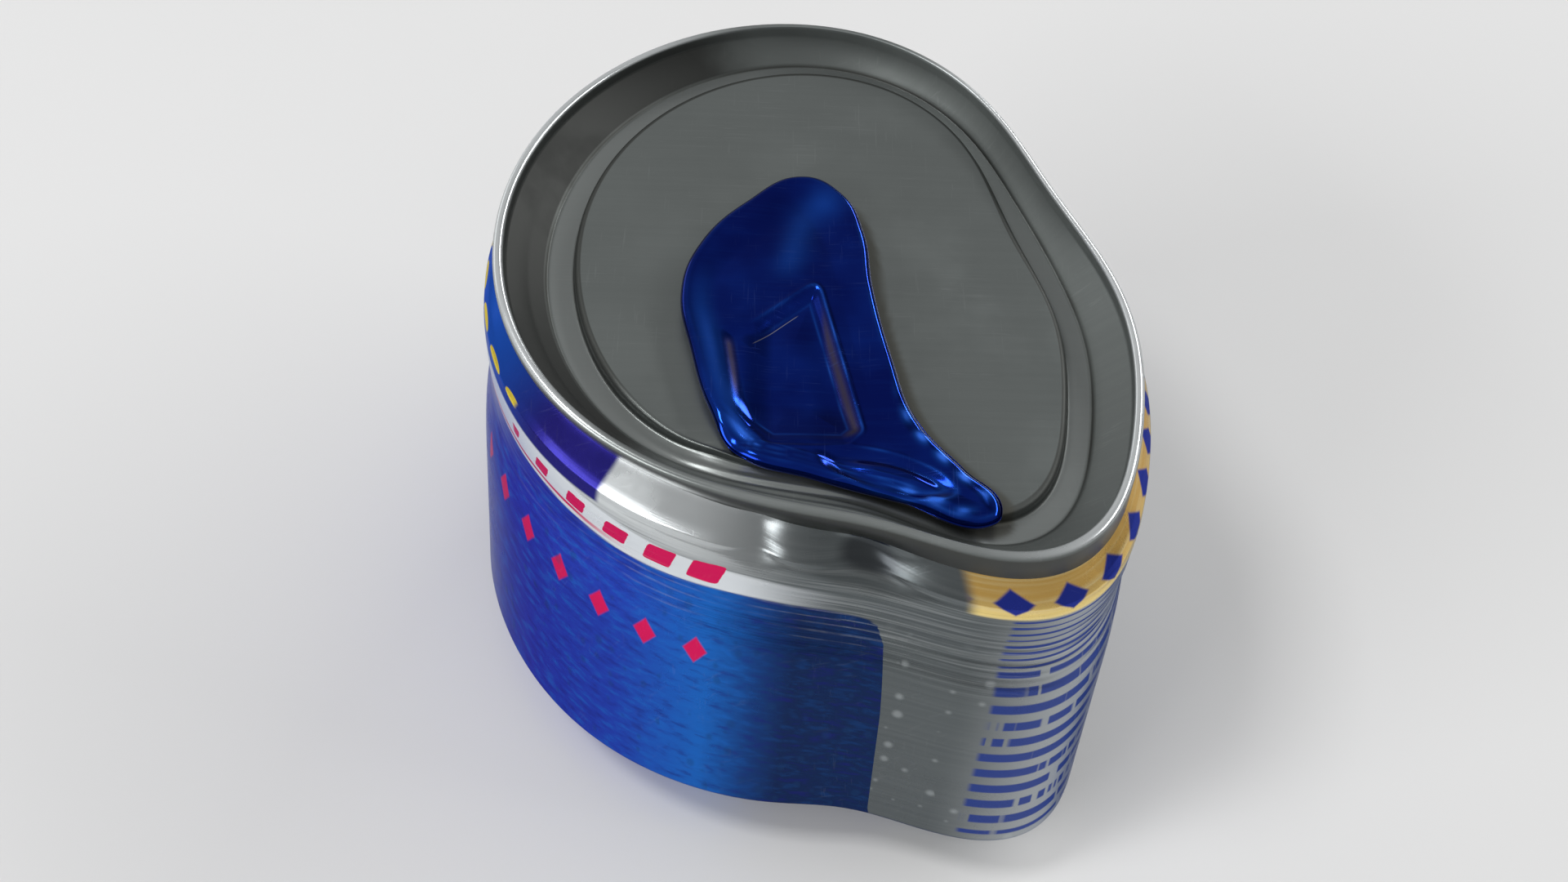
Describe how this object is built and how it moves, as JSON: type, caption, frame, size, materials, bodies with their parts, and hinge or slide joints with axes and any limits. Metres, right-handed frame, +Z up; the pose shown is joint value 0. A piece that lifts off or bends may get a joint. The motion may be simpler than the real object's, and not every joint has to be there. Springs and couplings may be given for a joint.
{
  "type": "crushed drink can",
  "caption": "Slim aluminium drink can crushed to a squat, dented teardrop, its sealed end tilted up with a blue ring tab pressed flat on the panel.",
  "frame": {"origin": "middle of the box's bottom, on the ground under the can", "axes": "+Z up through the can's end, -Y towards the near side that the foot leans to, +X to the right seen from there"},
  "size_m": [0.0518, 0.0616, 0.0329],
  "materials": {
    "can_wall": "glossy blue print over satin silver aluminium, with worn creases",
    "can_end": "satin grey, scuffed",
    "tab": "glossy deep blue anodised"
  },
  "bodies": {
    "root": {"can_body": "can_wall", "can_end": "can_end", "pull_tab": "tab"}
  },
  "joints": []
}
